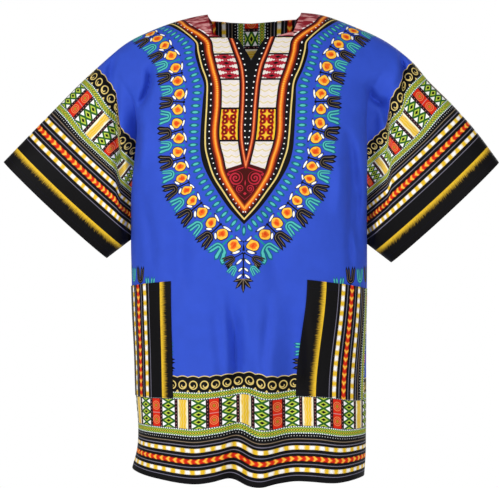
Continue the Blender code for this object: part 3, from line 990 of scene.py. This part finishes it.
# Drawing in the heart below the columns, in millimetres. Scrolls: middle, size, pitch, half a stroke's width.
# Spots: middle, half width, half height
heart = {
    "scrolls": [((17.0, 369.0), 12.6, 5.4, 1.25), ((8.6, 388.0), 7.4, 3.9, 0.85)],
    "spots": [
        ((31.0, 363.0), 4.4, 3.4), ((22.5, 384.5), 3.6, 3.8),
        ((0.0, 396.5), 3.4, 2.8), ((0.0, 378.0), 1.3, 6.0),
    ],
    "tip": 407.5,
}


# Draws the heart, whose top edge is foot
def drawHeart(colour, side, down, foot, ground):
    drawn = both(line(foot, 5.2, 1.1), inside(side - 30.0))
    for (x, y), size, pitch, stroke in heart["scrolls"]:
        dx, dy = side - x, down - y
        far = radius(dx, dy)
        turned = far - (maths("ARCTAN2", dx, -dy) + np.pi) * (pitch / (2 * np.pi))
        drawn = most(drawn, both(inside(apart(turned, pitch) - stroke - dx * 0.05), inside(far - size)))
    for (x, y), wide, tall in heart["spots"]:
        drawn = most(drawn, inside(abs(side - x) / wide + abs(down - y) / tall - 1.0, 0.2))
    tip = both(line(down + side * 0.9, heart["tip"], 0.8), inside(side - 13.0))
    return layered(
        colour,
        (ink("darkRed", 0.45), ground),
        (ink("crimson", 1.35), drawn * ground),
        (ink("crimson", 0.8), tip * ground),
    )


# Ink of the yoke itself
def yokeInk(tree):
    edge, gold, outer = facts(tree, "yokeLines")
    inner, across, down = facts(tree, "yokePlace")
    dropAt, _, _ = facts(tree, "dropPlace")
    side = abs(across)
    within, centre = least(-outer - 9.5, inner - 6.5), abs((outer + inner) * 0.5 + 1.4)
    foot = down - 344.0 - side * 0.32
    bars = most(inside(-foot), *[line(down, start, 1.7) for start in columns.values()])
    column = mixed(columnInk(tree, within, centre, down), "black", bars)
    colour = layered(plainInk(tree), ("black", inside(edge)), (column, inside(-within)))
    colour = drawHeart(colour, side, down, foot, both(inside(-foot - 2.0), inside(outer + 7.6)))
    colour = band(colour, outer, dropAt, "outer")
    colour = band(colour, inner, down, "inner")
    strip = radius(inner + 6.6, apart(down, 11.0))
    return layered(
        colour,
        ("gold", line(gold, 0.0, 1.3)),
        ("white", inside(radius(gold + 7.2, apart(dropAt, ring["dropStep"])) - 1.2)),
        ("white", both(inside(strip - 1.25), inside(down - 328.0))),
    )


# Stripes of the border, in millimetres from the selvedge: kind, centre, half width
stripes = [
    ("grey", 61.0, 0.6), ("dashes", 71.0, 3.8), ("grey", 81.0, 0.7), ("chevrons", 91.0, 4.5),
    ("grey", 101.0, 0.7), ("dashes", 111.0, 3.8), ("grey", 120.0, 0.8), ("sand", 126.5, 0.7),
    ("braid", 143.0, 6.6), ("braid", 208.5, 6.2),
]

# Sequence of blocks along the border: kind, width
blocks = [
    ("gold", 20.0), ("bar", 6.2), ("lozenges", 26.0), ("bar", 6.2),
    ("circles", 17.0), ("bar", 5.6), ("lozenges", 25.0), ("bar", 6.0),
]

# Other sizes of the border, in millimetres from the selvedge or across
edging = {
    "dots": (132.5, 5.2, 0.75),     # place, step, radius
    "blocks": (176.0, 25.6),        # middle and half height
    "curls": (227.5, 20.0, 6.9),    # place, step, radius
    "points": (215.0, 219.0),       # foot and tip of the points under the curls
    "edge": (240.0, 2.4, 1.5),      # place, rise of a scallop, width of its gold rim
}


# Ink of one stripe, by distance from its middle
def stripeInk(tree, kind, along, off, half):
    size = abs(off)
    if kind == "dashes":
        dash = apart(along, 18.6) - 4.8 + ragged(tree, 170.0, 4.0)
        return layered("white", ("cream", inside(2.6 - size, 1.0)), ("yellow", inside(dash, 4.0)))
    if kind == "chevrons":
        head = apart(abs(along) + size * 0.9, 14.2) + size * 0.4
        ground = mixed("red", "darkRed", inside(3.6 - size, 1.6))
        return layered(ground, ("orange", inside(head - 4.4, 2.4)), ("amber", inside(head - 2.8, 2.2)))
    if kind == "braid":
        thread = inside(apart(along + size * 1.5, 5.0) - 1.2, 0.8)
        rim = mixed("deepTeal", "white", inside(apart(along, 4.4) - 1.1))
        light = mixed("lime", "yellow", inside(size - 1.2, 1.0))
        return layered("green", (light, thread), (rim, inside(half - 1.8 - size)))
    return ink(kind)


# Ink of one block, by distance from its middle both ways
def blockInk(tree, kind, local, high, width):
    if kind == "gold":
        streaks = maths("SINE", local * 1.3 + maths("SINE", high * 0.5) * 0.9)
        body = inside(abs(local) - 6.6 + ragged(tree, 95.0, 5.0), 3.0)
        return layered("pearl", ("yellow", body), ("pearl", inside(0.7 - streaks, 0.6) * 0.3))
    if kind == "bar":
        return mixed("maroon", ink("rose", 0.6), inside(radius(local, apart(high, 6.0)) - 0.9))
    if kind == "lozenges":
        size = abs(local) * (2.0 / width) + apart(high, 13.4) / 6.7
        sizes = {"green": 1.32, "lime": 0.74, "black": 0.40}
        return layered("white", *[(name, inside(size - edge, 0.08)) for name, edge in sizes.items()])
    spot = radius(local, apart(high, 26.0, 13.0))
    rings = most(line(spot, 7.6, 0.5), line(spot, 4.6, 0.4))
    return layered(
        "red",
        (ink("salmon", 0.8), rings),
        (ink("honey", 0.6), inside(spot - 2.6)),
        ("rose", inside(abs(high) - 0.6)),
    )


# Draws a fringe of threads that fades towards the selvedge
def fringe(tree, colour, along, off):
    pull = node(tree, "ShaderNodeCombineXYZ", None, {0: along * 0.42, 1: off * 0.030})
    sockets = {"Vector": Wire(pull.outputs[0]), "Scale": 2.2, "Detail": 3.0}
    threads = Wire(node(tree, "ShaderNodeTexNoise", None, sockets).outputs["Fac"])
    near = maths("MULTIPLY_ADD", off, 1 / 15.0, -21.0 / 15.0, clamp=True)
    drawn = maths("MULTIPLY_ADD", near, 2.1, (threads - 0.5) * 2.8 - 0.62, clamp=True) * inside(off - 36.0)
    return mixed(colour, mixed(ink("honey", 0.7), "yellow", near), drawn)


# Ink of the woven-look border of cuffs, hem, pockets and facing
def borderInk(tree):
    along, off, _ = facts(tree, "borderPlace")
    place, rise, rim = edging["edge"]
    edge = off - (place + rise * maths("SINE", apart(along, 20.0) * (np.pi / 20)))
    colour = layered(plainInk(tree), ("gold", inside(edge - rim)), ("black", inside(edge)))
    colour = fringe(tree, colour, along, off)
    for kind, centre, half in stripes:
        colour = mixed(colour, stripeInk(tree, kind, along, off - centre, half), line(off, centre, half))
    place, step, size = edging["dots"]
    colour = mixed(colour, ink("white", 0.7), inside(radius(off - place, apart(along, step)) - size))
    middle, tall = edging["blocks"]
    within = maths("FLOORED_MODULO", along + 8.0, sum(width for _, width in blocks))
    start, high = 0.0, off - middle
    for kind, width in blocks:
        local = within - (start + width / 2)
        here = both(inside(abs(local) - width / 2 + 0.2), inside(abs(high) - tall))
        colour = mixed(colour, blockInk(tree, kind, local, high, width), here)
        start += width
    # Gold curls, in facing pairs, with small points under them
    place, step, size = edging["curls"]
    turned, rise = apart(along, 2 * step) - step / 2, off - place
    far = radius(turned, rise)
    hook = line(far - (maths("ARCTAN2", rise, turned) + np.pi) * 1.7, 1.2, 1.0)
    curl = most(line(far, size, 0.95), both(hook, inside(far - size)))
    foot, tip = edging["points"]
    points = both(inside(apart(along, step) * 1.3 + off - tip), inside(foot - off))
    return layered(colour, ("gold", curl), ("gold", points))


materials = {
    "plain": cotton("blue_cotton", sideInk),
    "border": cotton("border_cotton", borderInk),
    "ring": cotton("ring_cotton", ringInk),
    "yoke": cotton("yoke_cotton", yokeInk),
}
print("made the cottons")


# How far each cotton's drawing reaches, in millimetres of the print, and the strip where the stem hangs
areas = {"border": 250.0, "ring": 44.0, "yoke": -5.0, "stemHalf": 50.0, "stem": (440.0, 595.0)}


# Which cotton each cell takes
def cottonOf(values, quads, onArm, printed, order):
    across = np.abs(values[quads, 3]).mean(axis=1) * 1000
    down = values[quads, 4].mean(axis=1) * 1000
    border = values[quads, 6].min(axis=1) * 1000
    edge = printed["yokeLines"][quads, 0].mean(axis=1)
    flower = printed["flowerPlace"][quads, 1].mean(axis=1)
    which = np.zeros(len(quads), int)
    high, low = areas["stem"]
    stem = (across < areas["stemHalf"]) & (down > high) & (down < low)
    which[border < areas["border"]] = order.index("border")
    free = ~onArm & (which == 0)
    which[free & (stem | (flower < areas["ring"]))] = order.index("ring")
    which[free & (edge < areas["yoke"])] = order.index("yoke")
    return which


panels, pieces = {}, {}
order = ["plain", "border", "ring", "yoke"]
for face in faceSign:
    panels[face] = panel(face)
    values, seam, quads, onArm = listed(panels[face], face)
    flat = values[:, :3]
    printed = printFacts(values)
    which = cottonOf(values, quads, onArm, printed, order)
    cottons = [materials[name] for name in order]
    piece = clothPiece("printed_" + face, flat, normalsOf(flat, quads, seam), quads, printed, cottons, which)
    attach(piece, "root")
    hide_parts(face)
    pieces[face] = piece
    print("made the", face, len(quads), "cells")


# Where places of the flat cut come to lie: points on the folded cloth, print distances across, and the places
# once the cloth is bent
def onBody(side, face, mark, down):
    half = halves[side, face]
    mark, down = half.bent(mark, down)
    values = half.at(mark, down)
    return folded(values[..., :3].copy(), np.zeros(mark.shape, bool), face), values[..., 3], mark, down


# A piece of border cotton over a grid of points, turned to the front (-1) or the back (1). along and off are
# its places in the border, in metres
def trimPiece(name, points, along, off, lift, towards):
    flat = points.reshape(-1, 3)
    number = np.arange(len(flat)).reshape(points.shape[:2])
    quads = quadsOf(number, np.ones_like(number[1:, 1:], bool))
    normals = normalsOf(flat, quads, np.zeros(len(flat), bool))
    if (normals[:, 1] * towards > 0).mean() < 0.5:
        quads, normals = quads[:, ::-1], -normals
    places = np.column_stack([along.ravel(), off.ravel(), np.zeros(len(flat))]) * 1000
    which = np.zeros(len(quads), int)
    return clothPiece(
        name, flat, normals, quads, {"borderPlace": places}, [materials["border"]], which, lift,
    )


# Pockets, with their selvedge towards the centre: cell size, rows, how far the mouth gapes and over what
# depth, and where the print starts at each
pocket = {
    "cell": 0.0035, "rows": 62, "gape": 0.0012, "gapeDepth": 0.020,
    "print": {"left": 0.014, "right": 0.0},
}


# How far a pocket stands off the shirt at distances below its mouth
def gape(below, mark, low, high):
    across = np.sin(np.pi * (mark - low) / (high - low)) ** 2
    return pocket["gape"] * np.exp(-(below / pocket["gapeDepth"]) ** 2) * across


for side in sideSign:
    low, high = cut["pocketEdges"][side]
    marks = np.linspace(low, high, round((high - low) / pocket["cell"]) + 1)
    downs = np.linspace(cut["pocketTop"], cut["pocketBottom"], pocket["rows"])
    points, across, mark, down = onBody(side, "front", *np.meshgrid(marks, downs))
    lift = cloth["trimLift"] + gape(down - cut["pocketTop"], mark, low, high).ravel()
    off = across - across[:, :1] + pocket["print"][side]
    piece = trimPiece("printed_pocket_" + side, points, down, off, lift, -1)
    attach(piece, "root")
    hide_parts("pocket_" + side)
    pieces["pocket_" + side] = piece

# Facing inside the back of the neck: columns to each side, rows, and where the print starts down and across
neckFacing = {"columns": 26, "rows": 52, "printDown": 0.051, "printAcross": 0.163}
downs = np.linspace(cut["rim"]["back"], cut["facingDrop"], neckFacing["rows"])
places = [
    onBody(side, "back", *np.meshgrid(np.linspace(0.0, cut["neck"][side], neckFacing["columns"]), downs))
    for side in sideSign
]
points, across, _, down = (joined(left, right) for left, right in zip(*places))
lift = np.full(down.size, -2 * cloth["thick"] - cloth["trimLift"])
off = neckFacing["printAcross"] - np.abs(across)
facing = trimPiece("printed_facing", points, down + neckFacing["printDown"], off, lift, 1)
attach(facing, "root")
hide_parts("neck_facing")
print("made the pockets and the facing")


# Stitching, in metres: pitch and length of a stitch, its half width, rise and sunk ends, how far in each row
# runs and how far out the hem's, and how far below a pocket's mouth its hem is sewn
stitch = {
    "pitch": 0.0032, "length": 0.0025, "half": 0.00022, "rise": 0.00026, "sunk": 0.0002,
    "hem": 0.012, "hemReach": 0.2885, "neck": 0.004, "pocket": 0.0026, "mouth": 0.014,
}


# Outward normals along a row on one face: across is the way it runs, below the points just beyond it
def outward(here, across, below, face):
    normal = np.cross(across, below - here)
    normal *= np.where(normal[:, 1:2] * faceSign[face] < 0, -1.0, 1.0)
    return normal / np.linalg.norm(normal, axis=1, keepdims=True)


# Places and normals along a row on one half of the body, lifted off the cloth
def rowOnBody(side, face, mark, down, lift=0.0):
    mark, down = np.broadcast_arrays(np.array(mark, float), np.array(down, float))
    near = [(mark, down), (mark + 0.0015, down), (mark, down + 0.0015)]
    here, across, below = (onBody(side, face, *place)[0] for place in near)
    normal = outward(here, across - here, below, face)
    return here + normal * lift, normal


# The same along a sleeve, at one distance from the cuff
def rowOnSleeve(face, side, fromCuff):
    grid = panels[face][side][0]
    rows = (grid if side == "left" else grid[:, ::-1])[2:-2]
    here, further = (
        np.array([[np.interp(at, row[:, 6], row[:, k]) for k in range(3)] for row in rows])
        for at in (fromCuff, fromCuff + 0.003)
    )
    return here, outward(here, np.gradient(here, axis=0), further, face)


# Adds the stitches along one row. Each is a bead of eight points round two rings, with its pointed ends sunk
# in the cloth
def sewn(row, vertices, faces):
    points, normals = row
    along = lengthsOf(points)
    for start in np.arange(stitch["pitch"] / 2, along[-1] - stitch["length"], stitch["pitch"]):
        places = start + stitch["length"] * np.array([0.0, 0.25, 0.75, 1.0])
        spots = np.column_stack([np.interp(places, along, points[:, k]) for k in range(3)])
        up = np.array([np.interp(places[1], along, normals[:, k]) for k in range(3)])
        out = np.cross(spots[3] - spots[0], up)
        out /= np.linalg.norm(out)
        first = len(vertices)
        vertices.append(spots[0] - up * stitch["sunk"])
        for spot in spots[1:3]:
            for wide, high in ((1, 0.2), (0, 1), (-1, 0.2), (0, -0.6)):
                vertices.append(spot + out * stitch["half"] * wide + up * stitch["rise"] * high)
        vertices.append(spots[3] - up * stitch["sunk"])
        for k in range(4):
            a, b = first + 1 + k, first + 1 + (k + 1) % 4
            faces += [(first, b, a), (a, b, b + 4, a + 4), (a + 4, b + 4, first + 9)]


# Rows of stitches on one side of the shirt
def rowsOn(side):
    neck, low, high = cut["neck"][side], *cut["pocketEdges"][side]
    for face in faceSign:
        rim = cut["rim"][face]
        yield rowOnBody(side, face, np.linspace(0.0, stitch["hemReach"], 240), cut["length"] - stitch["hem"])
        yield rowOnBody(side, face, np.linspace(0.0, neck, 90), rim + stitch["neck"])
        if face == "front":
            yield rowOnBody(side, face, neck + stitch["neck"], np.linspace(0.004, rim, 50))
        yield rowOnSleeve(face, side, stitch["hem"])
    lift, inset, bottom = cloth["trimLift"] + cloth["thick"], stitch["pocket"], cut["pocketBottom"]
    ends = np.linspace(low + inset, high - inset, 90)
    edge = np.linspace(cut["pocketTop"] + 0.002, bottom - inset, 110)
    yield rowOnBody(side, "front", low + inset, edge, lift)
    yield rowOnBody(side, "front", ends, bottom - inset, lift)
    arch = lift + gape(stitch["mouth"], ends, low, high)
    yield rowOnBody(side, "front", ends, cut["pocketTop"] + stitch["mouth"], arch[:, None])


def threadInk(tree):
    return mixed("black", ink("night", 1.3), grain(tree, 400.0))


vertices, faces = [], []
for side in sideSign:
    for row in rowsOn(side):
        sewn(row, vertices, faces)
mesh = bpy.data.meshes.new("stitching")
mesh.from_pydata([tuple(spot) for spot in vertices], [], faces)
mesh.shade_smooth()
mesh.materials.append(cotton("stitch_thread", threadInk))
stitching = placed("stitching", mesh)
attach(stitching, "root")
print("sewed", len(vertices) // 10, "stitches")

# Plain pale floor, and the white air all round, dimmer as a light than it looks
studio = {"floor": -1.35, "floorRadius": 3.0, "pale": 0.93, "matt": 0.9, "air": 0.36}

# Soft square lights: place, aim, side and power
lights = {
    "key_light": ((-2.5, -2.6, 0.7), (0.0, 0.0, -0.40), 1.0, 60.0),
    "fill_light": ((2.3, -2.7, 0.0), (0.0, 0.0, -0.35), 1.6, 22.0),
    "front_light": ((0.3, -3.3, 0.15), (0.0, 0.1, -0.20), 0.7, 30.0),
    "back_light": ((1.6, 2.9, 0.8), (0.0, 0.0, -0.40), 1.6, 40.0),
}


def floor():
    far = studio["floorRadius"]
    turns = np.linspace(0.0, 2 * np.pi, 97)[:-1]
    rim = [(far * np.cos(turn), far * np.sin(turn), studio["floor"]) for turn in turns]
    mesh = bpy.data.meshes.new("floor")
    mesh.from_pydata(rim, [], [tuple(range(len(rim)))])
    material, _, shader = blank("pale_floor")
    shader.inputs["Base Color"].default_value = (studio["pale"], studio["pale"], studio["pale"], 1.0)
    shader.inputs["Roughness"].default_value = studio["matt"]
    mesh.materials.append(material)
    return placed("floor", mesh)


floor()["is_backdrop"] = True

for name, (place, aim, size, power) in lights.items():
    light = bpy.data.lights.new(name, "AREA")
    light.shape, light.size, light.energy = "SQUARE", size, power
    lamp = placed(name, light)
    lamp.location = place
    lamp.rotation_euler = (Vector(aim) - Vector(place)).to_track_quat("-Z", "Y").to_euler()

world = bpy.data.worlds.new("studio_air")
world.use_nodes = True
air = world.node_tree.nodes["Background"]
air.inputs["Color"].default_value = (1.0, 1.0, 1.0, 1.0)
seen = Wire(node(world.node_tree, "ShaderNodeLightPath").outputs["Is Camera Ray"])
glow = maths("MULTIPLY_ADD", seen, 1.0 - studio["air"], studio["air"])
world.node_tree.links.new(glow.socket, air.inputs["Strength"])
bpy.context.scene.world = world
bpy.context.scene.view_settings.view_transform = "Standard"

# View of the photograph, straight at the front
view = {"place": (-0.0018, -3.2, -0.4232), "turn": (np.pi / 2, 0.0, 0.0), "sensor": 36.0, "lens": 125.5}
camera = bpy.data.cameras.new("camera")
camera.sensor_width, camera.lens, camera.clip_end = view["sensor"], view["lens"], 60.0
eye = placed("camera", camera)
eye.location, eye.rotation_euler = view["place"], view["turn"]
bpy.context.scene.camera = eye

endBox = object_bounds()
boxes = {"start": startBox, "end": endBox}
{name: [list(corner) for corner in box] for name, box in boxes.items()}
print("set the studio")
